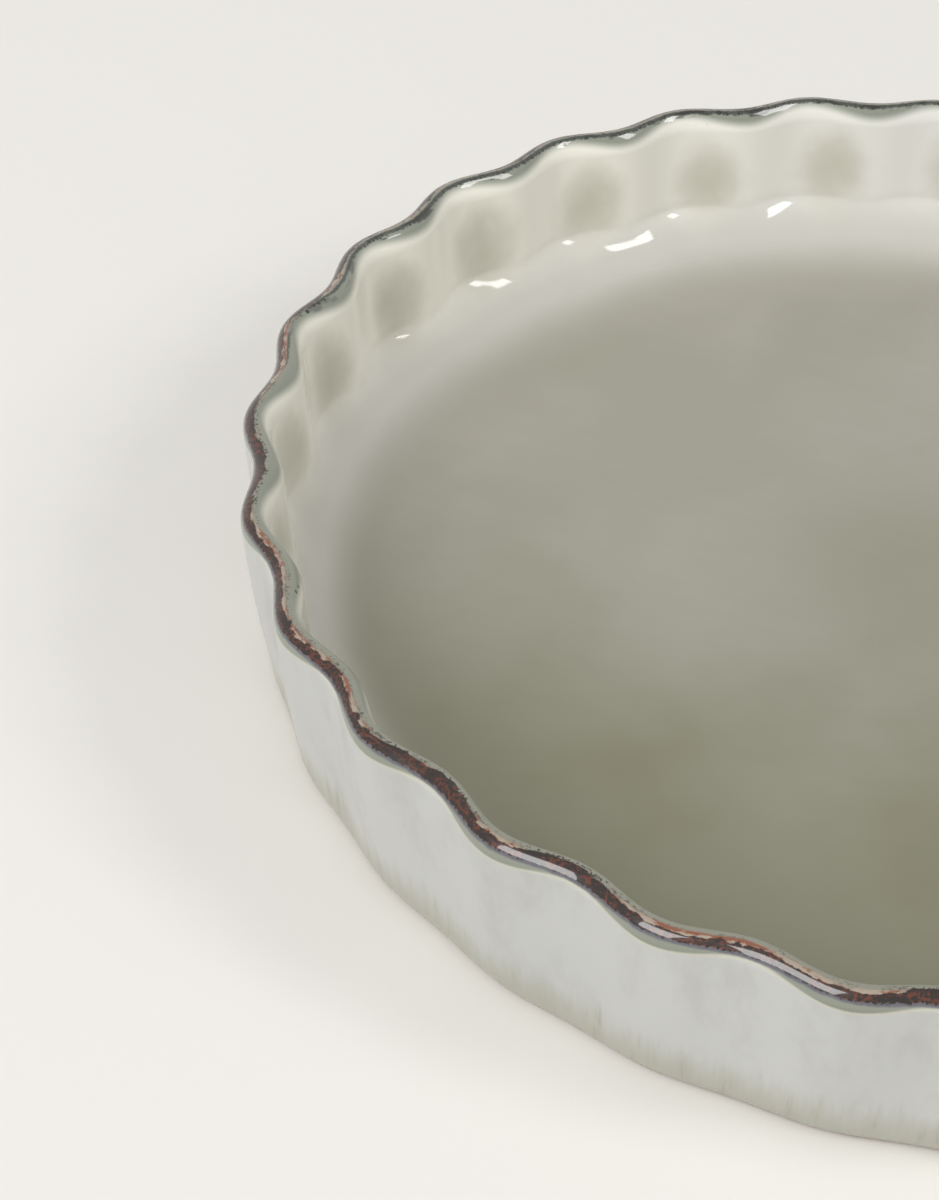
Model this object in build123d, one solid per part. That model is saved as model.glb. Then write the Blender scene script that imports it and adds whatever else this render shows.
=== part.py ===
from build123d import *
import os
from math import asin, cos, pi, sin, tau

# Fluted quiche dish in glazed stoneware, in millimetres.
# It stands on the XY plane with its centre on the Z axis and a flute crest along +X.
# Every fluted surface is ruled between level rings, which swing out and in once a flute.
# A level is the height of such a ring, its mean radius and its depth, crest to valley.

# Overall sizes
overall_diameter = 280.0
overall_height = 40.0
base_diameter = 266.0

# Flutes: those inside have their full depth on the wall and close on a ledge in the cove
flute_count = 28
outer_flute_depth = 2.8
inner_flute_depth = 3.2
flute_foot_height = 12.0
curve_steps_per_flute = 2

# Wall, with its outward bow half way up
wall_thickness = 5.6
wall_bow = 0.45
middle_ring_share = 0.45

# Lip, floor and the cove between floor and wall
lip_height = 2.6
inner_lip_height = 4.4
floor_level = 6.0
cove_radius = 12.0

# Underside: a rounded edge, then a bare foot ring, then a shallow recess
base_rounding = 4.4
foot_ring_width = 7.0
recess_depth = 1.2
recess_slope_run = 2.0

# Glaze coats
glaze_thickness = 0.5
base_glaze_margin = 1.5

# Steps that the rounded stretches are ruled in
glazed_lip_steps = 6
clay_lip_steps = 2
cove_steps = 2
base_steps = 2

rim_radius = (overall_diameter - outer_flute_depth) / 2
base_radius = base_diameter / 2
shoulder_height = overall_height - lip_height
base_centre_height = base_rounding - glaze_thickness
cove_centre_height = floor_level + cove_radius
flute_foot_angle = asin((cove_centre_height - flute_foot_height) / cove_radius)


def arc_angles(start, end, steps):
    """Evenly spaced angles of an arc, with both of its ends."""
    return [start + (end - start) * step / steps for step in range(steps + 1)]


def wall_radius(height):
    """Mean radius of the glazed outside, which leans out and bows a little."""
    rise = height / shoulder_height
    bow = wall_bow * 4 * rise * (1 - rise)
    return base_radius + (rim_radius - base_radius) * rise + bow


# Outer edge of the foot ring's flat, the recess inside it, and the edge of the flat floor
foot_radius = wall_radius(base_centre_height) - base_rounding
recess_mouth_radius = foot_radius - foot_ring_width
recess_radius = recess_mouth_radius - recess_slope_run
floor_radius = wall_radius(cove_centre_height) - wall_thickness - cove_radius


def outer_depth(height):
    """Flute depth on the outside: nothing at the table, all of it at the shoulder."""
    rise = max(height / shoulder_height, 0)
    return outer_flute_depth * sin(rise * pi / 2)


def base_levels(inset):
    """Levels round the bottom edge, from the table up to the foot of the wall."""
    corner = base_rounding - inset
    levels = []
    for angle in arc_angles(-pi / 2, 0, base_steps):
        height = base_centre_height + corner * sin(angle)
        levels.append((height, foot_radius + corner * cos(angle), outer_depth(height)))
    return levels


def middle_level():
    """Level part way up the glazed outside, where it bows out the most."""
    height = base_centre_height + (shoulder_height - base_centre_height) * middle_ring_share
    return height, wall_radius(height), outer_depth(height)


def lip_levels(inset, steps):
    """Levels over the lip, from its outer shoulder to its inner one, which is lower."""
    mean_radius = rim_radius - wall_thickness / 2
    mean_depth = (outer_flute_depth + inner_flute_depth) / 2
    depth_swing = (outer_flute_depth - inner_flute_depth) / 2
    levels = []
    for angle in arc_angles(0, pi, steps):
        side_height = lip_height if cos(angle) > 0 else inner_lip_height
        height = overall_height - side_height + (side_height - inset) * sin(angle)
        radius = mean_radius + (wall_thickness / 2 - inset) * cos(angle)
        levels.append((height, radius, mean_depth + depth_swing * cos(angle)))
    return levels


def cove_levels(inset):
    """Levels round the cove, from the wall past the foot of the flutes to the floor."""
    rise = cove_radius + inset
    run = rise - inner_flute_depth / 2
    levels = []
    for angle in [0] + arc_angles(flute_foot_angle, pi / 2, cove_steps):
        depth = inner_flute_depth * max(1 - angle / flute_foot_angle, 0)
        valley_radius = floor_radius + run * cos(angle)
        levels.append((cove_centre_height - rise * sin(angle), valley_radius + depth / 2, depth))
    return levels


def ring(level):
    """Closed level curve of one smooth edge for each flute, from valley to valley."""
    height, mean_radius, depth = level
    pitch = tau / flute_count
    edges = []
    for flute in range(flute_count):
        angles = arc_angles((flute - 1 / 2) * pitch, (flute + 1 / 2) * pitch, curve_steps_per_flute)
        points = []
        for angle in angles:
            radius = mean_radius + depth / 2 * cos(flute_count * angle)
            points.append((radius * cos(angle), radius * sin(angle), height))
        end_directions = [(-sin(angle), cos(angle), 0) for angle in (angles[0], angles[-1])]
        edges.append(Spline(*points, tangents=end_directions))
    return edges


def bands(rings):
    """Ruled faces between each ring and the next, one for each flute."""
    faces = []
    for ring_below, ring_above in zip(rings, rings[1:]):
        for edge_below, edge_above in zip(ring_below, ring_above):
            faces.append(Face.make_surface_from_curves(edge_below, edge_above))
    return faces


def disc(outline):
    """Flat face inside a ring."""
    return Face(Wire(outline))


def flat_ring(outline, hole):
    """Flat face between two rings at one height."""
    return Face(Wire(outline), [Wire(hole)])


def stoneware_body():
    """Fired clay: one section from the foot ring, round the wall and lip, to the floor."""
    recess = [(recess_depth + glaze_thickness, recess_radius, 0), (0, recess_mouth_radius, 0)]
    outside = base_levels(glaze_thickness)
    lip = lip_levels(glaze_thickness, clay_lip_steps)
    inside = cove_levels(glaze_thickness)
    recess_rings = [ring(level) for level in recess]
    rings = [ring(level) for level in outside + lip + inside]
    flats = [disc(recess_rings[0]), flat_ring(rings[0], recess_rings[-1]), disc(rings[-1])]
    return Solid(Shell(bands(recess_rings) + bands(rings) + flats))


def outside_glaze():
    """Coat on the outside, from half way round the bottom edge up to the shoulder."""
    glazed = base_levels(0)[1:] + [middle_level()] + lip_levels(0, glazed_lip_steps)[:1]
    clay = base_levels(glaze_thickness)[1:] + lip_levels(glaze_thickness, clay_lip_steps)[:1]
    rings = [ring(level) for level in glazed + clay[::-1]]
    return Solid(Shell(bands(rings + rings[:1])))


def rim_glaze():
    """Coat over the lip, from its outer shoulder to its inner one."""
    glazed = lip_levels(0, glazed_lip_steps)
    clay = lip_levels(glaze_thickness, clay_lip_steps)
    rings = [ring(level) for level in glazed + clay[::-1]]
    return Solid(Shell(bands(rings + rings[:1])))


def inside_glaze():
    """Coat on the inside, from the shoulder down the wall, round the cove and on the floor."""
    clay = cove_levels(glaze_thickness)[::-1] + lip_levels(glaze_thickness, clay_lip_steps)[-1:]
    glazed = lip_levels(0, glazed_lip_steps)[-1:] + cove_levels(0)
    rings = [ring(level) for level in clay + glazed]
    return Solid(Shell(bands(rings) + [disc(rings[0]), disc(rings[-1])]))


def base_glaze():
    """Round coat on the roof of the recess under the floor."""
    radius = recess_radius - base_glaze_margin
    return Pos(0, 0, recess_depth + glaze_thickness / 2) * Cylinder(radius, glaze_thickness)


nodes = {
    "stoneware_body": stoneware_body,
    "outside_glaze": outside_glaze,
    "rim_glaze": rim_glaze,
    "inside_glaze": inside_glaze,
    "base_glaze": base_glaze,
}

os.makedirs("parts", exist_ok=True)
for name, make in nodes.items():
    export_step(make(), f"parts/{name}.step")
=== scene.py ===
import math

import bmesh
import bpy
from bpy.props import FloatProperty, FloatVectorProperty, IntProperty, PointerProperty
import numpy as np
from mathutils import Matrix, Vector


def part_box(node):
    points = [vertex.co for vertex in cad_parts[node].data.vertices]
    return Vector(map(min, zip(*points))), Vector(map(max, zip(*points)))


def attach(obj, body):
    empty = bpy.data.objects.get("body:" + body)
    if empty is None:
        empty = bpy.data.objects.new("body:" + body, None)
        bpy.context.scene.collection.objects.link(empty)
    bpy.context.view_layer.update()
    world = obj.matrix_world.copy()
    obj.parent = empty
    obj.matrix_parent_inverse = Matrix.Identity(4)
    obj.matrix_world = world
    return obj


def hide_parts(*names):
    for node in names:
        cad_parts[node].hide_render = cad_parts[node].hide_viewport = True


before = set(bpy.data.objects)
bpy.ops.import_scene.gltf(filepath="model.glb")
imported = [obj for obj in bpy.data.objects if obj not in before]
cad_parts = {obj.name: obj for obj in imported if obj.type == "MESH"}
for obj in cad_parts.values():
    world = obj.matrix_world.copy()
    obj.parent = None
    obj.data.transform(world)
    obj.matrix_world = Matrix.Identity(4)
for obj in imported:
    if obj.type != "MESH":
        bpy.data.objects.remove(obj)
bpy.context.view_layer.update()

bl_info = {
    "name": "Fluted Quiche Dish",
    "version": (1, 0, 0),
    "blender": (4, 5, 0),
    "location": "3D Viewport > Sidebar > Dish",
    "description": "Builds a fluted stoneware quiche dish with a reactive glaze, and its stage",
    "category": "Add Mesh",
}

# Every length is in metres, because the frame is.
MM = 0.001

_, rim_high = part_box("rim_glaze")
roof_low, roof_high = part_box("base_glaze")

# Steps in each stretch of a section: on the glazed side, under a coat, and on the clay
GLAZED = {"corner": 6, "outer_wall": 28, "lip": 16, "inner_wall": 40, "cove": 24, "floor": 24}
UNDER_COAT = {"corner": 3, "outer_wall": 8, "lip": 6, "inner_wall": 10, "cove": 6, "floor": 4}
CLAY = {"corner": 10, "outer_wall": 12, "lip": 6, "inner_wall": 16, "cove": 12, "floor": 4}

# Steps in each half of the lip when the distance over it is measured
LIP_ARC_STEPS = 24

# Points closer than this are one, and edges sharper than this stay sharp
MERGE_DISTANCE = 0.02 * MM
SHARP_ANGLE = math.radians(35)

# The outside coat starts half way round the bottom edge
COAT_START = -math.pi / 4

# A distance over the lip that no band of colour reaches
FAR_FROM_LIP = 1.0

# Bands over the lip, from one distance from its crest to another. Outwards is positive.
CREST_BAND = (-0.3 * MM, 1.2 * MM)
DOTTED_BAND = (-1.1 * MM, 0.3 * MM)
BLOTTED_BAND = (-1.7 * MM, 0.1 * MM)
FRINGE_BAND = (2.7 * MM, 3.4 * MM)
TAN_BAND = (0.6 * MM, 2.6 * MM)
PINHOLE_BAND = (-3.5 * MM, 1.5 * MM)
SOFT_EDGE = 0.5 * MM

# Ends of the halo: outside in the valleys, and further down on the crests, then inside on
# the crests, and further down on the ridges between flutes
HALO_END = 3.7 * MM
HALO_CREST_DROP = 1.9 * MM
INNER_HALO_END = -1.6 * MM
INNER_HALO_RIDGE_DROP = -1.8 * MM

# Edges of the iron: the inner one spreads and tears, and the outer one is soft
IRON_START = 1.5 * MM
IRON_SPREAD = 1.0 * MM
IRON_TEAR = 2.2 * MM
IRON_END = (3.05 * MM, 2.7 * MM)

# Heights inside where the floor's colour gives way, where the wall's takes over and where
# the glaze turns from satin to glossy
COVE_FADE = (6.2 * MM, 12.8 * MM)
WALL_FADE = (12.5 * MM, 21.0 * MM)
GLOSS_FADE = (9.0 * MM, 14.0 * MM)

# Middle and half height of the tan stain with its painted shade in each flute
TAN_AND_SHADE_HEIGHT = 24.5 * MM
TAN_AND_SHADE_HALF_HEIGHT = 9.5 * MM

# Olive patch just off the middle of the floor, and where it fades and is full
PATCH_PLACE = (-8.0 * MM, 8.0 * MM, 6.0 * MM)
PATCH_FADE = (62.0 * MM, 22.0 * MM)

# Radius of the cylinder that patterns round the dish are laid on, and a smaller one that
# draws them out round the lip
WRAP_RADIUS = 140 * MM
LONG_WRAP_RADIUS = 50 * MM

# Each noise's waves per metre, detail and roughness
NOISES = {
    "lip_drift": (45.0, 2.0, 0.5),
    "lip_jitter": (420.0, 3.0, 0.6),
    "lip_grain": (1500.0, 2.0, 0.6),
    "lip_breaks": (55.0, 4.0, 0.6),
    "lip_tears": (750.0, 4.0, 0.65),
    "line_gaps": (90.0, 2.0, 0.5),
    "line_blots": (260.0, 3.0, 0.6),
    "pinhole_clusters": (38.0, 1.0, 0.5),
    "ripple": (160.0, 2.0, 0.5),
    "outside_cloud": (30.0, 3.0, 0.5),
    "outside_smears": (95.0, 4.0, 0.62),
    "foot_streaks": (420.0, 3.0, 0.65),
    "floor_cloud": (14.0, 4.0, 0.55),
    "floor_streaks": (260.0, 3.0, 0.6),
    "tan_and_shade_edge": (75.0, 3.0, 0.6),
    "clay_grain": (900.0, 4.0, 0.7),
    "clay_toast": (30.0, 3.0, 0.5),
}

# Pinholes: how far apart they may lie, and the share of those places that has one
PINHOLE_SPACING = 2.2 * MM
PINHOLE_SHARE = 0.2

# Surfaces: the glaze and the clear coat over it, the satin floor, and the bare clay
GLAZE_IOR = 1.62
COAT = {"Coat_Roughness": 0.04, "Coat_IOR": 1.55, "Specular_IOR_Level": 0.2}
COATED_ROUGHNESS = 0.3
GLOSSY_ROUGHNESS = 0.09
SATIN_ROUGHNESS = 0.38
CLAY_ROUGHNESS = 0.85
RIPPLE_DEPTH = 0.01 * MM
GRAIN_DEPTH = 0.12 * MM

# The studio: half the side of its floor, how far that lies under the dish, and the world's
# light, which grows from the left to the right
FLOOR_HALF_SIDE = 6.0
FLOOR_DROP = 0.05 * MM
WORLD_TINT = (1.0, 0.99, 0.97)
WORLD_LIGHT = 0.46
WORLD_LIGHT_RISE = 0.14

# Each lamp's place, width, depth and power. Both point at the same place in the dish.
LAMPS = {
    "front_softbox": ((-1.35, -2.65, 2.68), 2.13, 2.53, 110.0),
    "right_window": ((2.97, 0.0, 2.68), 1.0, 1.5, 34.0),
}
LAMP_TARGET = (0.0, 0.0, 20 * MM)

# The camera's film width, and the nearest distance that it sees
SENSOR_WIDTH = 36.0
NEAREST_SEEN = 10 * MM


def srgb(red, green, blue):
    """Linear colour of a colour that is given in 0 to 255."""
    channels = []
    for value in (red, green, blue):
        share = value / 255
        if share <= 0.04045:
            channels.append(share / 12.92)
        else:
            channels.append(((share + 0.055) / 1.055) ** 2.4)
    return tuple(channels)


def colour(name, description, red, green, blue):
    """A colour setting with its default in 0 to 255."""
    return FloatVectorProperty(
        name=name,
        description=description,
        subtype="COLOR",
        min=0.0,
        max=1.0,
        default=srgb(red, green, blue),
    )


def length(name, description, millimetres):
    """A length setting with its default in millimetres."""
    return FloatProperty(
        name=name,
        description=description,
        unit="LENGTH",
        subtype="DISTANCE",
        precision=5,
        default=millimetres * MM,
    )


class DishShape(bpy.types.PropertyGroup):
    """Sizes of the dish, which match the solids that it is dressed over."""

    flute_count: IntProperty(
        name="Flutes", description="Flutes round the dish", default=28, min=3
    )
    columns_per_flute: IntProperty(
        name="Columns per flute", description="Mesh columns in each flute", default=20, min=4
    )
    outer_radius: FloatProperty(
        name="Outer radius",
        description="Radius at the crest of a flute at the lip",
        unit="LENGTH",
        subtype="DISTANCE",
        default=rim_high.x,
    )
    height: FloatProperty(
        name="Height",
        description="Height from the table to the top of the lip",
        unit="LENGTH",
        subtype="DISTANCE",
        default=rim_high.z,
    )
    base_radius: length("Base radius", "Mean radius that the wall springs from", 133.0)
    wall_bow: length("Wall bow", "How far the wall bows out half way up", 0.45)
    wall_thickness: length("Wall thickness", "Thickness of the wall and of the lip", 5.6)
    outer_flute_depth: length("Outer flute depth", "Crest to valley outside", 2.8)
    foot_flute_depth: length("Foot flute depth", "Crest to valley outside at the table", 0.7)
    inner_flute_depth: length("Inner flute depth", "Crest to valley inside", 3.2)
    lip_height: length("Lip height", "Height of the rounded part of the lip outside", 2.6)
    inner_lip_height: length("Inner lip height", "Height of its gentler rounding inside", 4.4)
    inner_lip_power: FloatProperty(
        name="Inner lip power",
        description="2 rounds the inner half of the lip as an ellipse, and less flattens it",
        default=1.5,
        min=1.2,
        max=2.0,
    )
    flute_foot: length("Flute foot", "Height where a flute closes inside, at its middle", 12.5)
    flute_foot_rise: length("Foot rise", "How much higher it closes at its sides", 2.0)
    flute_foot_run: length("Foot run", "Height that it takes to close", 5.5)
    # Painted shade: each stain is turned round onto the side of its flute that faces away from the
    # light from the right
    tan_and_shade_turn: FloatProperty(
        name="Stain turn",
        description="How far round each stain lies from the middle of its flute, in flutes",
        default=0.22,
    )
    floor_level: length("Floor level", "Height of the floor inside", 6.0)
    cove_top: length("Cove top", "Height where the wall turns into the cove", 19.0)
    cove_bend: length("Cove bend", "Radius of the bend under the wall", 7.2)
    cove_slope: FloatProperty(
        name="Cove slope",
        description="Slope between the two bends of the cove",
        subtype="ANGLE",
        default=math.radians(36),
    )
    floor_bend: length("Floor bend", "Radius of the bend into the floor", 24.0)
    base_rounding: length("Base rounding", "Radius of the rounded bottom edge", 4.4)
    foot_ring_width: length("Foot ring width", "Width of the bare ring that it stands on", 7.0)
    recess_slope: length("Recess slope", "Run of the slope from foot ring to recess", 2.0)
    recess_depth: length("Recess depth", "Depth of the glazed recess", 1.2)
    glaze: length("Glaze thickness", "Thickness of the glaze coats", 0.5)


class GlazeColours(bpy.types.PropertyGroup):
    """Colours of the clay and of the glazes."""

    wall_outside: colour("Wall outside", "Pale grey glaze outside", 187, 188, 186)
    wall_inside: colour("Wall inside", "Pale glaze on the wall inside", 227, 226, 221)
    # Painted light: a paler, creamier wall inside on the left, which faces the light from the right
    wall_left_painted_light: colour("Wall to the left", "Creamier glaze on the left of the inside", 240, 238, 226)
    floor: colour("Floor", "Grey green glaze on the floor", 162, 160, 149)
    # Darker olive of the real patches and streaks on the floor, and also of the painted shade
    # towards its front
    floor_dark_and_painted_shade: colour("Floor shade", "Thicker, darker patches on the floor", 125, 124, 102)
    # Dimple: tan where the glaze thins, and painted shade on the side of each flute's hollow that
    # faces away from the light
    dimple_tan_and_shade: colour("Dimple", "Tan where the glaze thins in a flute inside", 193, 190, 176)
    olive: colour("Olive", "Tint of the outside near the foot", 166, 164, 148)
    streak: colour("Streak", "Fine streaks near the foot", 128, 126, 108)
    iron: colour("Iron", "Dark iron brown on the lip", 24, 12, 10)
    rust: colour("Rust", "Red brown in the iron", 98, 44, 26)
    copper: colour("Copper", "Copper patches on the lip", 130, 78, 56)
    tan: colour("Tan", "Tan patches on the lip", 166, 150, 134)
    fringe: colour("Fringe", "Bluish purple edge of the iron", 84, 80, 98)
    halo: colour("Halo", "Grey green glaze beside the iron", 134, 139, 126)
    halo_deep: colour("Deep halo", "Dark green line in the halo", 58, 64, 58)
    crest: colour("Crest", "Olive grey along the crest of the lip", 136, 134, 120)
    cream: colour("Cream", "Cream edge of the halo", 196, 194, 176)
    pinhole: colour("Pinhole", "Pinholes in the lip glaze", 22, 22, 20)
    clay: colour("Clay", "Bare fired clay", 176, 150, 120)


class StudioSettings(bpy.types.PropertyGroup):
    """Camera, floor and backdrop of the studio."""

    camera_reach: length("Camera reach", "Level distance from the dish's axis", 444.2)
    camera_height: length("Camera height", "Height of the camera", 360.0)
    camera_azimuth: FloatProperty(
        name="Camera azimuth",
        description="Turn of the camera's place from straight in front",
        subtype="ANGLE",
        default=math.radians(2.04),
    )
    camera_heading: FloatProperty(
        name="Camera heading",
        description="Turn of the view from straight ahead",
        subtype="ANGLE",
        default=math.radians(14.41),
    )
    camera_pitch: FloatProperty(
        name="Camera pitch",
        description="How far the view looks down",
        subtype="ANGLE",
        default=math.radians(39.67),
    )
    camera_roll: FloatProperty(
        name="Camera roll",
        description="Turn of the picture about the line of sight",
        subtype="ANGLE",
        default=math.radians(3.65),
    )
    lens: FloatProperty(
        name="Lens",
        description="Focal length",
        unit="CAMERA",
        default=86.16,
    )
    floor_colour: colour("Floor", "Plain floor", 236, 234, 229)
    backdrop: colour("Backdrop", "What is seen beyond the floor, or reflected", 230, 228, 223)


class Tree:
    """Short ways to add nodes to a material or a world."""

    def __init__(self, owner):
        owner.use_nodes = True
        self.nodes = owner.node_tree.nodes
        self.links = owner.node_tree.links
        self.nodes.clear()

    def add(self, kind, **settings):
        """A node with its settings."""
        node = self.nodes.new(kind)
        for name, value in settings.items():
            setattr(node, name, value)
        return node

    def feed(self, socket, value):
        """Links an output to a socket, or sets the socket's own value."""
        if isinstance(value, bpy.types.NodeSocket):
            self.links.new(value, socket)
        elif hasattr(value, "__len__") and len(value) == 3 and socket.type == "RGBA":
            socket.default_value = (*value, 1.0)
        else:
            socket.default_value = value

    def math(self, operation, first, second=0.0, third=0.0, clamp=False):
        """Output of a Math node."""
        node = self.add("ShaderNodeMath", operation=operation, use_clamp=clamp)
        for socket, value in zip(node.inputs, (first, second, third)):
            self.feed(socket, value)
        return node.outputs[0]

    def vector(self, operation, first, second=(0.0, 0.0, 0.0)):
        """Output of a Vector Math node."""
        node = self.add("ShaderNodeVectorMath", operation=operation)
        self.feed(node.inputs[0], first)
        self.feed(node.inputs[1], second)
        return node.outputs["Value" if operation in ("LENGTH", "DOT_PRODUCT") else "Vector"]

    def smooth(self, value, start, end):
        """A smooth step from 0 at start to 1 at end. Start may be above end."""
        node = self.add("ShaderNodeMapRange", interpolation_type="SMOOTHSTEP")
        low, high = (start, end) if start < end else (end, start)
        self.feed(node.inputs["Value"], value)
        self.feed(node.inputs["From Min"], low)
        self.feed(node.inputs["From Max"], high)
        result = node.outputs["Result"]
        return result if start < end else self.math("SUBTRACT", 1.0, result)

    def band(self, value, start, end, softness):
        """1 between start and end, with soft edges that are centred on them."""
        half = softness / 2
        rise = self.smooth(value, start - half, start + half)
        fall = self.smooth(value, end + half, end - half)
        return self.math("MULTIPLY", rise, fall)

    def noise(self, vector, kind):
        """Noise from 0 to 1 of one of the named kinds."""
        node = self.add("ShaderNodeTexNoise")
        self.feed(node.inputs["Vector"], vector)
        for name, value in zip(("Scale", "Detail", "Roughness"), NOISES[kind]):
            self.feed(node.inputs[name], value)
        return node.outputs["Fac"]

    def mix(self, factor, first, second):
        """Colour between first and second."""
        node = self.add("ShaderNodeMix", data_type="RGBA")
        self.feed(node.inputs[0], factor)
        self.feed(node.inputs[6], first)
        self.feed(node.inputs[7], second)
        return node.outputs[2]

    def lay(self, mask, ground, colour, strength):
        """Colour laid over a ground at a strength where the mask is 1."""
        return self.mix(self.math("MULTIPLY", mask, strength), ground, colour)

    def nudge(self, value, noise, amount):
        """Value moved by noise, by up to half of the amount either way."""
        return self.math("MULTIPLY_ADD", self.math("SUBTRACT", noise, 0.5), amount, value)

    def attribute(self, name):
        """A float attribute of the piece."""
        return self.add("ShaderNodeAttribute", attribute_name=name).outputs["Fac"]

    def finish(self, base_colour, roughness, height=None, height_distance=0.0, **settings):
        """Principled surface with its bump and its constant sockets."""
        shader = self.add("ShaderNodeBsdfPrincipled")
        self.feed(shader.inputs["Base Color"], base_colour)
        self.feed(shader.inputs["Roughness"], roughness)
        for name, value in settings.items():
            shader.inputs[name.replace("_", " ")].default_value = value
        if height is not None:
            bump = self.add("ShaderNodeBump")
            bump.inputs["Strength"].default_value = 1.0
            bump.inputs["Distance"].default_value = height_distance
            self.feed(bump.inputs["Height"], height)
            self.links.new(bump.outputs[0], shader.inputs["Normal"])
        output = self.add("ShaderNodeOutputMaterial")
        self.links.new(shader.outputs[0], output.inputs["Surface"])


class Fields:
    """What the glaze colours follow: places on the dish, as node outputs."""

    def __init__(self, tree):
        self.place = tree.add("ShaderNodeTexCoord").outputs["Object"]
        parts = tree.add("ShaderNodeSeparateXYZ")
        tree.feed(parts.inputs[0], self.place)
        self.height = parts.outputs[2]
        level = tree.add("ShaderNodeCombineXYZ")
        tree.feed(level.inputs[0], parts.outputs[0])
        tree.feed(level.inputs[1], parts.outputs[1])
        self.direction = tree.vector("NORMALIZE", level.outputs[0])
        self.lip = tree.attribute("lip_distance")
        self.flute = tree.attribute("flute")
        self.tan_and_shade = tree.attribute("tan_and_shade")

    def direction_y(self, tree):
        """How far to the back of the dish a place lies, from -1 to 1."""
        parts = tree.add("ShaderNodeSeparateXYZ")
        tree.feed(parts.inputs[0], self.direction)
        return parts.outputs[1]

    def around(self, tree, radius, stretch, along):
        """A place on a cylinder, with the distance along it stretched."""
        ring = tree.vector("SCALE", self.direction)
        ring.node.inputs["Scale"].default_value = radius
        rise = tree.add("ShaderNodeCombineXYZ")
        tree.feed(rise.inputs[2], tree.math("MULTIPLY", along, stretch))
        return tree.vector("ADD", ring, rise.outputs[0])


def rim_colours(tree, fields, colours, ground):
    """Iron, copper, halo and cream bands of the lip, laid over the ground colour."""
    circle = fields.around(tree, WRAP_RADIUS, 1.0, fields.lip)
    slow = tree.noise(circle, "lip_drift")
    quick = tree.noise(circle, "lip_jitter")
    fine = tree.noise(circle, "lip_grain")
    drift = tree.nudge(fields.lip, slow, 1.2 * MM)
    jitter = tree.nudge(drift, quick, 0.7 * MM)
    rough = tree.nudge(jitter, fine, 1.0 * MM)
    back = tree.smooth(fields.direction_y(tree), -0.35, 0.45)
    breaks = tree.noise(circle, "lip_breaks")
    long = fields.around(tree, LONG_WRAP_RADIUS, 1.0, fields.lip)
    ragged = tree.noise(long, "lip_tears")

    # Outside: a cream line, then the halo that deepens towards the iron
    halo_end = tree.math("MULTIPLY_ADD", fields.flute, HALO_CREST_DROP, HALO_END)
    past_end = tree.math("SUBTRACT", drift, halo_end)
    cream_line = tree.band(past_end, -0.4 * MM, 0.2 * MM, SOFT_EDGE)
    result = tree.lay(cream_line, ground, colours.cream, 0.8)
    halo_out = tree.smooth(past_end, 0.0, -0.7 * MM)

    # Inside: the halo fades into the wall, furthest on the ridges between flutes
    ridge = tree.math("SUBTRACT", 1.0, fields.flute)
    inner_end = tree.math("MULTIPLY_ADD", ridge, INNER_HALO_RIDGE_DROP, INNER_HALO_END)
    past_inner = tree.math("SUBTRACT", drift, inner_end)
    halo_in = tree.smooth(past_inner, -1.4 * MM, 1.2 * MM)
    result = tree.lay(halo_out, result, colours.halo, halo_in)
    on_crest = tree.band(jitter, *CREST_BAND, SOFT_EDGE)
    result = tree.lay(on_crest, result, colours.crest, 0.8)

    # A dark green line just inside the crest, which is broad at the back and dotted in front
    shift = tree.math("MULTIPLY_ADD", back, 1.0 * MM, -1.0 * MM)
    line = tree.math("ADD", rough, shift)
    line_end = tree.math("MULTIPLY_ADD", back, -0.5 * MM, -0.45 * MM)
    from_end = tree.math("SUBTRACT", line, line_end)
    line_in = tree.smooth(from_end, -0.3 * MM, 0.2 * MM)
    line_out = tree.smooth(line, 0.15 * MM, -0.25 * MM)
    gaps = tree.smooth(tree.noise(circle, "line_gaps"), 0.34, 0.52)
    green = tree.math("MULTIPLY", line_in, line_out)
    green = tree.math("MULTIPLY", green, tree.math("MAXIMUM", gaps, back))
    result = tree.lay(green, result, colours.halo_deep, 0.95)
    dots = tree.math("MULTIPLY", tree.smooth(fine, 0.52, 0.58), tree.smooth(breaks, 0.4, 0.54))
    dotted = tree.band(tree.math("ADD", jitter, shift), *DOTTED_BAND, SOFT_EDGE)
    dots = tree.math("MULTIPLY", dots, dotted)
    blots = tree.smooth(tree.noise(long, "line_blots"), 0.54, 0.62)
    blots = tree.math("MULTIPLY", blots, tree.band(jitter, *BLOTTED_BAND, SOFT_EDGE))
    dark = tree.math("MAXIMUM", dots, tree.math("MULTIPLY", blots, back))
    result = tree.lay(dark, result, colours.pinhole, 0.85)

    # The iron band with its fringe, and tan and copper where the iron breaks
    fringe = tree.band(jitter, *FRINGE_BAND, SOFT_EDGE)
    result = tree.lay(fringe, result, colours.fringe, 0.8)
    tan_band = tree.band(jitter, *TAN_BAND, 0.3 * MM)
    tan_band = tree.math("MULTIPLY", tan_band, tree.smooth(breaks, 0.54, 0.42))
    result = tree.lay(tan_band, result, colours.tan, 0.85)
    result = tree.lay(tan_band, result, colours.copper, tree.smooth(ragged, 0.44, 0.56))
    spread = tree.math("MULTIPLY", tree.smooth(breaks, 0.34, 0.6), IRON_SPREAD)
    iron_start = tree.math("SUBTRACT", IRON_START, spread)
    past_start = tree.math("SUBTRACT", tree.nudge(jitter, ragged, IRON_TEAR), iron_start)
    torn_edge = tree.smooth(past_start, -0.1 * MM, 0.1 * MM)
    rusty = tree.math("MULTIPLY", tree.smooth(fine, 0.44, 0.6), tree.smooth(ragged, 0.61, 0.46))
    iron = tree.lay(rusty, colours.iron, colours.rust, 0.85)
    return tree.lay(torn_edge, result, iron, tree.smooth(rough, *IRON_END))


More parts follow.
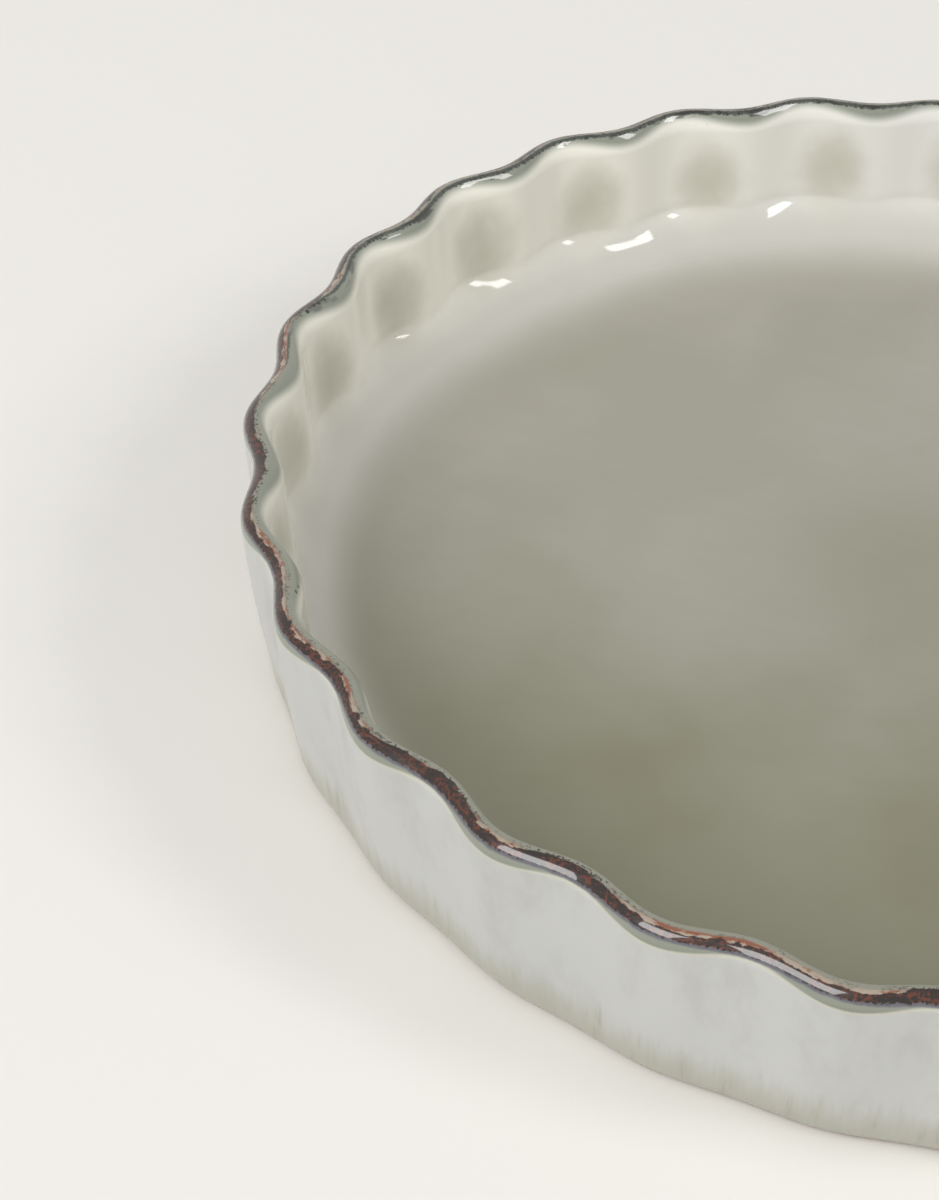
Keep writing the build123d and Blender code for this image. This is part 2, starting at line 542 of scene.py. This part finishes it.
def pinholes(tree, fields):
    """1 in a few small round spots, and 0 elsewhere."""
    cells = tree.add("ShaderNodeTexVoronoi", feature="F1")
    tree.feed(cells.inputs["Vector"], fields.place)
    cells.inputs["Scale"].default_value = 1.0 / PINHOLE_SPACING
    chosen = tree.add("ShaderNodeSeparateColor")
    tree.feed(chosen.inputs[0], cells.outputs["Color"])
    kept = tree.smooth(chosen.outputs[0], PINHOLE_SHARE + 0.02, PINHOLE_SHARE)
    spot = tree.smooth(cells.outputs["Distance"], 0.26, 0.16)
    return tree.math("MULTIPLY", kept, spot)


def outside_ground(tree, fields, colours):
    """Pale grey, with an olive tint and fine streaks towards the foot."""
    cloud = tree.noise(fields.place, "outside_cloud")
    pale = tree.lay(cloud, colours.wall_outside, colours.wall_inside, 0.2)
    long_wrap = fields.around(tree, WRAP_RADIUS, 0.5, fields.height)
    smears = tree.smooth(tree.noise(long_wrap, "outside_smears"), 0.46, 0.74)
    pale = tree.lay(smears, pale, colours.streak, 0.2)
    longer_wrap = fields.around(tree, WRAP_RADIUS, 0.12, fields.height)
    streaks = tree.noise(longer_wrap, "foot_streaks")
    reach = tree.math("MULTIPLY_ADD", streaks, 12.0 * MM, 2.0 * MM)
    low = tree.math("SUBTRACT", fields.height, reach)
    tint = tree.smooth(low, 5.0 * MM, -5.0 * MM)
    result = tree.lay(tint, pale, colours.olive, 0.7)
    dark = tree.math("MULTIPLY", tree.smooth(streaks, 0.56, 0.7), tint)
    return tree.lay(dark, result, colours.streak, 0.3)


def wall_ground(tree, fields, colours):
    """Pale wall inside, with painted light that makes it paler and creamier on the left."""
    # Painted light: the wall grows paler and creamier the further it lies to the left
    left = tree.vector("DOT_PRODUCT", fields.direction, (-1.0, 0.0, 0.0))
    return tree.mix(tree.smooth(left, 0.1, 1.0), colours.wall_inside, colours.wall_left_painted_light)


def inside_ground(tree, fields, colours):
    """Grey green floor with painted shade at the front, a paler wall with painted light on the
    left, and a tan stain with painted shade in each flute.
    """
    cloud = tree.noise(fields.place, "floor_cloud")
    streaked = tree.vector("MULTIPLY", fields.place, (0.35, 1.0, 1.0))
    streaks = tree.noise(streaked, "floor_streaks")
    patches_and_shade = tree.smooth(cloud, 0.35, 0.72)
    # Painted shade: the floor darkens towards the front, where the near wall shades it
    side = tree.vector("DOT_PRODUCT", fields.place, (-0.2, -0.98, 0.0))
    front_painted_shade = tree.smooth(tree.nudge(side, cloud, 60.0 * MM), -5.0 * MM, 90.0 * MM)
    front_painted_shade = tree.math("MULTIPLY", front_painted_shade, 0.86)
    patches_and_shade = tree.math("MULTIPLY_ADD", patches_and_shade, 0.3, front_painted_shade, clamp=True)
    off_middle = tree.vector("LENGTH", tree.vector("SUBTRACT", fields.place, PATCH_PLACE))
    spread = tree.math("MULTIPLY_ADD", cloud, 40.0 * MM, off_middle)
    middle = tree.smooth(spread, *PATCH_FADE)
    patches_and_shade = tree.math("MULTIPLY_ADD", middle, 0.5, patches_and_shade, clamp=True)
    floor = tree.mix(patches_and_shade, colours.floor, colours.floor_dark_and_painted_shade)
    floor = tree.lay(streaks, floor, colours.floor_dark_and_painted_shade, 0.16)

    # The cove and the wall, whose edges wander up and down
    raised = tree.nudge(fields.height, cloud, 6.0 * MM)
    result = tree.lay(tree.smooth(raised, *COVE_FADE), floor, colours.wall_inside, 0.46)
    wall = wall_ground(tree, fields, colours)
    result = tree.mix(tree.smooth(raised, *WALL_FADE), result, wall)

    # An oval tan stain with painted shade in each flute, with an uneven edge
    grain = tree.noise(fields.place, "tan_and_shade_edge")
    above = tree.math("SUBTRACT", fields.height, TAN_AND_SHADE_HEIGHT)
    upright = tree.math("DIVIDE", above, TAN_AND_SHADE_HALF_HEIGHT)
    upright = tree.math("MULTIPLY", upright, upright)
    across = tree.math("MULTIPLY", tree.math("SUBTRACT", 1.0, fields.tan_and_shade), 2.1)
    oval = tree.nudge(tree.math("ADD", upright, across), grain, 1.6)
    return tree.lay(tree.smooth(oval, 1.8, -0.4), result, colours.dimple_tan_and_shade, 0.95)


def lip_ground(tree, fields, colours):
    """The outside's ground up to the crest of the lip, and the inside wall's beyond it."""
    outside = outside_ground(tree, fields, colours)
    inside = wall_ground(tree, fields, colours)
    return tree.mix(tree.smooth(fields.lip, 0.6 * MM, -0.6 * MM), outside, inside)


def glaze_material(name, ground_maker, colours, gloss=1.0, satin_floor=False):
    """Reactive glaze: a ground with the bands of the lip over it. It's satin on the floor where
    that is asked for, and glossy elsewhere."""
    material = bpy.data.materials.new(name)
    tree = Tree(material)
    fields = Fields(tree)
    ground = ground_maker(tree, fields, colours)
    result = rim_colours(tree, fields, colours, ground)
    on_lip = tree.band(fields.lip, *PINHOLE_BAND, 0.6 * MM)
    spots = tree.math("MULTIPLY", pinholes(tree, fields), on_lip)
    clusters = tree.smooth(tree.noise(fields.place, "pinhole_clusters"), 0.52, 0.6)
    result = tree.lay(spots, result, colours.pinhole, clusters)
    ripple = tree.noise(fields.place, "ripple")
    bump = {"height": ripple, "height_distance": RIPPLE_DEPTH}
    if satin_floor:
        glossy = tree.smooth(fields.height, *GLOSS_FADE)
        fall = GLOSSY_ROUGHNESS - SATIN_ROUGHNESS
        roughness = tree.math("MULTIPLY_ADD", glossy, fall, SATIN_ROUGHNESS)
        tree.finish(result, roughness, IOR=GLAZE_IOR, **bump)
    else:
        tree.finish(result, COATED_ROUGHNESS, Coat_Weight=gloss, **COAT, **bump)
    return material


def clay_material(colours):
    """Bare fired clay with a fine grain."""
    material = bpy.data.materials.new("bare_fired_clay")
    tree = Tree(material)
    fields = Fields(tree)
    grain = tree.noise(fields.place, "clay_grain")
    toast = tree.noise(fields.place, "clay_toast")
    warm = tree.lay(toast, colours.clay, colours.copper, 0.5)
    body = tree.lay(tree.smooth(grain, 0.58, 0.66), warm, colours.iron, 0.5)
    tree.finish(body, CLAY_ROUGHNESS, height=grain, height_distance=GRAIN_DEPTH)
    return material


class Section:
    """Half section of the dish. A place on it is a radius at a flute's valley, a height, the
    depth of the flute there, and 1 where the flute closes towards the floor."""

    def __init__(self, shape):
        self.shape = shape
        self.shoulder = shape.height - shape.lip_height
        self.rim_radius = shape.outer_radius - shape.outer_flute_depth / 2
        self.corner_height = shape.base_rounding - shape.glaze
        self.foot_radius = self.wall_radius(self.corner_height) - shape.base_rounding
        cove_wall = self.wall_radius(shape.cove_top)
        self.inner_base_radius = cove_wall - shape.wall_thickness
        self.inner_top_radius = self.rim_radius - shape.wall_thickness
        self.valley = shape.inner_flute_depth / 2
        self.lip_centre = self.rim_radius - shape.wall_thickness / 2
        inner_rise = self.shoulder - shape.cove_top
        self.inner_lean = math.atan2(self.inner_top_radius - self.inner_base_radius, inner_rise)
        step = 0.1 * MM
        outer_run = self.wall_radius(self.shoulder) - self.wall_radius(self.shoulder - step)
        self.outer_lean = math.atan2(outer_run, step)

    def wall_radius(self, height):
        """Mean radius of the glazed outside."""
        rise = height / self.shoulder
        bow = self.shape.wall_bow * 4 * rise * (1 - rise)
        return self.shape.base_radius + (self.rim_radius - self.shape.base_radius) * rise + bow

    def outer_depth(self, height):
        """Flute depth outside, some of which is left at the table."""
        shape = self.shape
        rise = math.sin(min(max(height / self.shoulder, 0), 1) * math.pi / 2)
        return shape.foot_flute_depth + (shape.outer_flute_depth - shape.foot_flute_depth) * rise

    def corner(self, inset, start, end, steps):
        """Round the bottom edge, from one angle to another."""
        places = []
        size = self.shape.base_rounding - inset
        for step in range(steps + 1):
            angle = start + (end - start) * step / steps
            height = self.corner_height + size * math.sin(angle)
            depth = self.outer_depth(height)
            radius = self.foot_radius + size * math.cos(angle)
            places.append((radius - depth / 2, height, depth, 0.0))
        return places

    def outer_wall(self, inset, steps):
        """Up the outside, from above the bottom edge to just under the lip."""
        places = []
        top = self.shoulder - self.shape.lip_height * math.sin(self.outer_lean)
        for step in range(1, steps + 1):
            height = self.corner_height + (top - self.corner_height) * step / steps
            depth = self.outer_depth(height)
            places.append((self.wall_radius(height) - inset - depth / 2, height, depth, 0.0))
        return places

    def lip(self, inset, steps):
        """Over the lip, from the outer shoulder to the inner one, in steps for each half. The
        inner half rounds more gently."""
        shape = self.shape
        mean_depth = (shape.outer_flute_depth + shape.inner_flute_depth) / 2
        swing = (shape.outer_flute_depth - shape.inner_flute_depth) / 2
        crest = math.pi / 2
        ratio = shape.inner_lip_height / (shape.wall_thickness / 2)
        power = shape.inner_lip_power
        lean = (ratio * math.tan(self.inner_lean)) ** (power / 2 / (power - 1))
        end = math.pi - math.atan(lean)
        turns = []
        for step in range(steps):
            turns.append((-self.outer_lean + (crest + self.outer_lean) * step / steps, True))
        for step in range(steps + 1):
            turns.append((crest + (end - crest) * step / steps, False))
        places = []
        for angle, outside in turns:
            rise = shape.lip_height if outside else shape.inner_lip_height
            bend = 1.0 if outside else 2 / power
            outward = math.copysign(abs(math.cos(angle)) ** bend, math.cos(angle))
            radius = self.lip_centre + (shape.wall_thickness / 2 - inset) * outward
            height = shape.height - rise + (rise - inset) * math.sin(angle) ** bend
            depth = mean_depth + swing * outward
            places.append((radius - depth / 2, height, depth, 0.0))
        return places

    def inner_wall(self, inset, steps):
        """Down the inside, from the inner shoulder to the top of the cove."""
        depth = self.shape.inner_flute_depth
        top_radius, top_height, _, _ = self.lip(0.0, 1)[-1]
        bottom = self.inner_base_radius - self.valley
        places = []
        for step in range(1, steps + 1):
            share = step / steps
            height = top_height + (self.shape.cove_top - top_height) * share
            radius = top_radius + (bottom - top_radius) * share
            places.append((radius + inset, height, depth, 1.0))
        return places

    def cove(self, inset, steps):
        """Round the cove, from the wall to the floor: a tight bend, a slope and a wide bend."""
        shape = self.shape
        start = math.pi / 2 - self.inner_lean
        radius = self.inner_base_radius - self.valley
        height = shape.cove_top
        slope = shape.cove_slope
        line = []
        for step in range(1, steps + 1):
            angle = start + (slope - start) * step / steps
            run = shape.cove_bend * (math.sin(start) - math.sin(angle))
            drop = shape.cove_bend * (math.cos(angle) - math.cos(start))
            line.append((radius - run, height - drop, angle))
        radius, height, _ = line[-1]
        bend_drop = shape.floor_bend * (1 - math.cos(slope))
        drop = height - shape.floor_level - bend_drop
        radius -= drop / math.tan(slope)
        height -= drop
        for step in range(steps + 1):
            angle = slope * (1 - step / steps)
            run = shape.floor_bend * (math.sin(slope) - math.sin(angle))
            drop = shape.floor_bend * (math.cos(angle) - math.cos(slope))
            line.append((radius - run, height - drop, angle))
        depth = shape.inner_flute_depth
        places = []
        for radius, height, angle in line:
            outward = radius + inset * math.sin(angle)
            places.append((outward, height - inset * math.cos(angle), depth, 1.0))
        return places

    def floor(self, inset, steps):
        """Across the floor, from the cove to the centre."""
        edge, level, _, _ = self.cove(inset, 2)[-1]
        return [(edge * (1 - step / steps), level, 0.0, 0.0) for step in range(1, steps + 1)]


def smooth_step(values, low, high):
    """0 below low, 1 above high and a smooth rise between them."""
    share = np.clip((values - low) / (high - low), 0, 1)
    return share * share * (3 - 2 * share)


def flute(mesh, shape):
    """Moves the points of a spun mesh out into the flutes. Stores how far each is swelled, and
    how near it is to the middle of a flute's tan stain with its painted shade."""
    count = len(mesh.vertices)
    places = np.empty(count * 3, np.float32)
    mesh.vertices.foreach_get("co", places)
    places = places.reshape(-1, 3)
    depth = np.empty(count, np.float32)
    closing = np.empty(count, np.float32)
    mesh.attributes["depth"].data.foreach_get("value", depth)
    mesh.attributes["closing"].data.foreach_get("value", closing)
    angle = np.arctan2(places[:, 1], places[:, 0])
    swell = (1 + np.cos(shape.flute_count * angle)) / 2
    low = shape.flute_foot + shape.flute_foot_rise * (1 - swell)
    closed = 1 - smooth_step(places[:, 2], low, low + shape.flute_foot_run)
    push = depth * swell * (1 - closing * closed)
    places[:, 0] += push * np.cos(angle)
    places[:, 1] += push * np.sin(angle)
    mesh.vertices.foreach_set("co", places.ravel())
    # Where the tan stain with its painted shade lies, turned round from the middle of each flute
    tan_and_shade = (1 + np.cos(shape.flute_count * angle + math.tau * shape.tan_and_shade_turn)) / 2
    for name, values in (("flute", swell), ("tan_and_shade", tan_and_shade)):
        layer = mesh.attributes.new(name, "FLOAT", "POINT")
        layer.data.foreach_set("value", values.astype(np.float32))


def spun_coat(name, places, lip_distances, shape, closed):
    """Closed coat: a section spun round the axis and then fluted."""
    bm = bmesh.new()
    depth_layer = bm.verts.layers.float.new("depth")
    closing_layer = bm.verts.layers.float.new("closing")
    lip_layer = bm.verts.layers.float.new("lip_distance")
    verts = []
    for (radius, height, depth, closing), distance in zip(places, lip_distances):
        vert = bm.verts.new((radius, 0.0, height))
        vert[depth_layer] = depth
        vert[closing_layer] = closing
        vert[lip_layer] = distance
        verts.append(vert)
    pairs = list(zip(verts, verts[1:]))
    if closed:
        pairs.append((verts[-1], verts[0]))
    edges = [bm.edges.new(pair) for pair in pairs]
    pitch = math.tau / shape.flute_count
    axis = (0.0, 0.0, 1.0)
    steps = shape.columns_per_flute
    bmesh.ops.spin(bm, geom=verts + edges, axis=axis, steps=steps, angle=pitch)
    bmesh.ops.spin(
        bm,
        geom=bm.verts[:] + bm.edges[:] + bm.faces[:],
        axis=axis,
        steps=shape.flute_count - 1,
        angle=math.tau - pitch,
        use_duplicate=True,
    )
    bmesh.ops.remove_doubles(bm, verts=bm.verts, dist=MERGE_DISTANCE)
    bmesh.ops.recalc_face_normals(bm, faces=bm.faces)
    mesh = bpy.data.meshes.new(name)
    bm.to_mesh(mesh)
    bm.free()
    flute(mesh, shape)
    mesh.shade_smooth()
    mesh.set_sharp_from_angle(angle=SHARP_ANGLE)
    piece = bpy.data.objects.new(name, mesh)
    bpy.context.scene.collection.objects.link(piece)
    return piece


def running_lengths(places, start, direction):
    """Distance along a section from its first place, added to start."""
    distances = [start]
    for (r0, h0, _, _), (r1, h1, _, _) in zip(places, places[1:]):
        distances.append(distances[-1] + direction * math.hypot(r1 - r0, h1 - h0))
    return distances


def lip_arcs(section):
    """Arcs from the crest of the lip to its outer end and to its inner end."""
    distances = running_lengths(section.lip(0.0, LIP_ARC_STEPS), 0.0, 1)
    crest = distances[LIP_ARC_STEPS]
    return crest, distances[-1] - crest


def carry(piece, node, material):
    """Puts a finished piece in the place of its node."""
    piece.data.materials.append(material)
    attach(piece, "root")
    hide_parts(node)


class DISH_OT_clay_body(bpy.types.Operator):
    """Make the fired clay body with its foot ring and recess"""

    bl_idname = "dish.clay_body"
    bl_label = "Clay Body"

    def execute(self, context):
        shape = context.scene.dish_shape
        section = Section(shape)
        glaze = shape.glaze
        mouth = section.foot_radius - shape.foot_ring_width
        roof = shape.recess_depth + glaze
        places = [(0.0, roof), (mouth - shape.recess_slope, roof), (mouth, 0.0)]
        places = [(radius, height, 0.0, 0.0) for radius, height in places]
        places += section.corner(glaze, -math.pi / 2, 0.0, CLAY["corner"])
        places += section.outer_wall(glaze, CLAY["outer_wall"])[:-1]
        places += section.lip(glaze, CLAY["lip"])
        places += section.inner_wall(glaze, CLAY["inner_wall"])
        places += section.cove(glaze, CLAY["cove"])
        places += section.floor(glaze, CLAY["floor"])
        distances = [FAR_FROM_LIP] * len(places)
        piece = spun_coat("stoneware_body_fired", places, distances, shape, closed=False)
        carry(piece, "stoneware_body", clay_material(context.scene.dish_colours))
        return {"FINISHED"}


class DISH_OT_outside_glaze(bpy.types.Operator):
    """Make the pale coat on the fluted outside"""

    bl_idname = "dish.outside_glaze"
    bl_label = "Outside Glaze"

    def execute(self, context):
        shape = context.scene.dish_shape
        section = Section(shape)
        arc, _ = lip_arcs(section)
        coat = []
        for inset, steps in ((0.0, GLAZED), (shape.glaze, UNDER_COAT)):
            side = section.corner(inset, COAT_START, 0.0, steps["corner"])
            side += section.outer_wall(inset, steps["outer_wall"])[:-1]
            side += section.lip(inset, steps["lip"])[:1]
            coat.append((side, running_lengths(side[::-1], arc, 1)[::-1]))
        (outer, distances), (inner, inner_distances) = coat
        places = outer + inner[::-1]
        distances += inner_distances[::-1]
        piece = spun_coat("outside_glaze_coat", places, distances, shape, closed=True)
        colours = context.scene.dish_colours
        material = glaze_material("pale_grey_glaze", outside_ground, colours, gloss=0.3)
        carry(piece, "outside_glaze", material)
        return {"FINISHED"}


class DISH_OT_rim_glaze(bpy.types.Operator):
    """Make the iron brown coat over the lip"""

    bl_idname = "dish.rim_glaze"
    bl_label = "Rim Glaze"

    def execute(self, context):
        shape = context.scene.dish_shape
        section = Section(shape)
        arc, _ = lip_arcs(section)
        outer = section.lip(0.0, GLAZED["lip"])
        inner = section.lip(shape.glaze, UNDER_COAT["lip"])
        places = outer + inner[::-1]
        distances = running_lengths(outer, arc, -1) + running_lengths(inner, arc, -1)[::-1]
        piece = spun_coat("rim_glaze_coat", places, distances, shape, closed=True)
        colours = context.scene.dish_colours
        material = glaze_material("iron_rim_glaze", lip_ground, colours)
        carry(piece, "rim_glaze", material)
        return {"FINISHED"}


class DISH_OT_inside_glaze(bpy.types.Operator):
    """Make the grey green coat on the inside"""

    bl_idname = "dish.inside_glaze"
    bl_label = "Inside Glaze"

    def execute(self, context):
        shape = context.scene.dish_shape
        section = Section(shape)
        _, arc = lip_arcs(section)
        coat = []
        for inset, steps in ((0.0, GLAZED), (shape.glaze, UNDER_COAT)):
            side = section.lip(inset, steps["lip"])[-1:]
            side += section.inner_wall(inset, steps["inner_wall"])
            side += section.cove(inset, steps["cove"]) + section.floor(inset, steps["floor"])
            coat.append((side, running_lengths(side, -arc, -1)))
        (outer, distances), (inner, inner_distances) = coat
        places = inner[::-1] + outer
        distances = inner_distances[::-1] + distances
        piece = spun_coat("inside_glaze_coat", places, distances, shape, closed=False)
        colours = context.scene.dish_colours
        material = glaze_material("grey_green_glaze", inside_ground, colours, satin_floor=True)
        carry(piece, "inside_glaze", material)
        return {"FINISHED"}


class DISH_OT_base_glaze(bpy.types.Operator):
    """Make the coat in the recess under the floor"""

    bl_idname = "dish.base_glaze"
    bl_label = "Base Glaze"

    def execute(self, context):
        shape = context.scene.dish_shape
        radius, roof = roof_high.x, roof_high.z
        places = [(0.0, roof), (radius, roof)]
        steps = GLAZED["corner"]
        for step in range(1, steps + 1):
            angle = math.pi / 2 * step / steps
            inward = shape.glaze * (1 - math.cos(angle))
            places.append((radius - inward, roof - shape.glaze * math.sin(angle)))
        places += [(radius * share, roof_low.z) for share in (0.9, 0.6, 0.3, 0.0)]
        places = [(reach, height, 0.0, 0.0) for reach, height in places]
        distances = [FAR_FROM_LIP] * len(places)
        piece = spun_coat("base_glaze_coat", places, distances, shape, closed=False)
        colours = context.scene.dish_colours
        material = glaze_material("pale_base_glaze", outside_ground, colours)
        carry(piece, "base_glaze", material)
        return {"FINISHED"}


class DISH_OT_stage(bpy.types.Operator):
    """Set up the pale floor, the soft lamps and the camera"""

    bl_idname = "dish.stage"
    bl_label = "Studio Stage"

    def execute(self, context):
        scene = context.scene
        studio = scene.dish_studio
        self.make_floor(scene, studio)
        self.make_world(scene, studio)
        self.make_lamps(scene)
        self.make_camera(scene, studio)
        scene.view_settings.view_transform = "Standard"
        return {"FINISHED"}

    def make_floor(self, scene, studio):
        """Plain floor under the dish."""
        bm = bmesh.new()
        bmesh.ops.create_grid(bm, x_segments=2, y_segments=2, size=FLOOR_HALF_SIDE)
        bmesh.ops.translate(bm, verts=bm.verts, vec=(0.0, 0.0, -FLOOR_DROP))
        mesh = bpy.data.meshes.new("studio_floor")
        bm.to_mesh(mesh)
        bm.free()
        floor = bpy.data.objects.new("studio_floor", mesh)
        scene.collection.objects.link(floor)
        material = bpy.data.materials.new("studio_floor_paint")
        tree = Tree(material)
        tree.finish(studio.floor_colour, 0.9, Specular_IOR_Level=0.0)
        mesh.materials.append(material)

    def make_world(self, scene, studio):
        """Soft light from all round, and a plain backdrop where the world itself is seen."""
        world = bpy.data.worlds.new("studio_world")
        scene.world = world
        tree = Tree(world)
        way = tree.add("ShaderNodeSeparateXYZ")
        tree.feed(way.inputs[0], tree.add("ShaderNodeTexCoord").outputs["Generated"])
        light = tree.add("ShaderNodeBackground")
        tree.feed(light.inputs[0], WORLD_TINT)
        strength = tree.math("MULTIPLY_ADD", way.outputs[0], WORLD_LIGHT_RISE, WORLD_LIGHT)
        tree.feed(light.inputs[1], strength)
        seen = tree.add("ShaderNodeBackground")
        tree.feed(seen.inputs[0], studio.backdrop)
        path = tree.add("ShaderNodeLightPath").outputs
        clear = tree.math("MAXIMUM", path["Is Glossy Ray"], path["Is Transmission Ray"])
        choice = tree.add("ShaderNodeMixShader")
        output = tree.add("ShaderNodeOutputWorld")
        tree.feed(choice.inputs[0], tree.math("MAXIMUM", path["Is Camera Ray"], clear))
        tree.feed(choice.inputs[1], light.outputs[0])
        tree.feed(choice.inputs[2], seen.outputs[0])
        tree.feed(output.inputs[0], choice.outputs[0])

    def make_lamps(self, scene):
        """Soft rectangular lamps."""
        for name, (place, width, depth, power) in LAMPS.items():
            data = bpy.data.lights.new(name, "AREA")
            data.shape = "RECTANGLE"
            data.size = width
            data.size_y = depth
            data.energy = power
            lamp = bpy.data.objects.new(name, data)
            lamp.location = place
            aim = Vector(LAMP_TARGET) - Vector(place)
            lamp.rotation_euler = aim.to_track_quat("-Z", "Y").to_euler()
            scene.collection.objects.link(lamp)

    def make_camera(self, scene, studio):
        """Camera at the photograph's place and angle."""
        data = bpy.data.cameras.new("studio_camera")
        data.sensor_width = SENSOR_WIDTH
        data.lens = studio.lens
        data.clip_start = NEAREST_SEEN
        camera = bpy.data.objects.new("studio_camera", data)
        turn = Matrix.Rotation(studio.camera_azimuth, 4, "Z")
        place = turn @ Vector((0.0, -studio.camera_reach, studio.camera_height))
        view = Matrix.Rotation(studio.camera_heading, 4, "Z")
        view = view @ Matrix.Rotation(math.pi / 2 - studio.camera_pitch, 4, "X")
        view = view @ Matrix.Rotation(studio.camera_roll, 4, "Z")
        camera.matrix_world = Matrix.Translation(place) @ view
        scene.collection.objects.link(camera)
        scene.camera = camera


class DISH_PT_panel(bpy.types.Panel):
    """Steps and sizes of the dish"""

    bl_label = "Fluted Quiche Dish"
    bl_idname = "DISH_PT_panel"
    bl_space_type = "VIEW_3D"
    bl_region_type = "UI"
    bl_category = "Dish"

    def draw(self, context):
        layout = self.layout
        for operator in OPERATORS:
            layout.operator(operator.bl_idname)
        scene = context.scene
        for group in (scene.dish_shape, scene.dish_colours, scene.dish_studio):
            box = layout.box()
            for name in group.__annotations__:
                box.prop(group, name)


OPERATORS = (
    DISH_OT_clay_body,
    DISH_OT_inside_glaze,
    DISH_OT_outside_glaze,
    DISH_OT_rim_glaze,
    DISH_OT_base_glaze,
    DISH_OT_stage,
)
CLASSES = (DishShape, GlazeColours, StudioSettings, *OPERATORS, DISH_PT_panel)


def register():
    """Adds the classes and their settings."""
    for cls in CLASSES:
        bpy.utils.register_class(cls)
    bpy.types.Scene.dish_shape = PointerProperty(type=DishShape)
    bpy.types.Scene.dish_colours = PointerProperty(type=GlazeColours)
    bpy.types.Scene.dish_studio = PointerProperty(type=StudioSettings)


def unregister():
    """Removes the classes and their settings."""
    del bpy.types.Scene.dish_studio
    del bpy.types.Scene.dish_colours
    del bpy.types.Scene.dish_shape
    for cls in reversed(CLASSES):
        bpy.utils.unregister_class(cls)


def main():
    """Makes the dish and its stage."""
    register()
    bpy.ops.dish.clay_body()
    bpy.ops.dish.inside_glaze()
    bpy.ops.dish.outside_glaze()
    bpy.ops.dish.rim_glaze()
    bpy.ops.dish.base_glaze()
    bpy.ops.dish.stage()


if __name__ == "__main__":
    main()
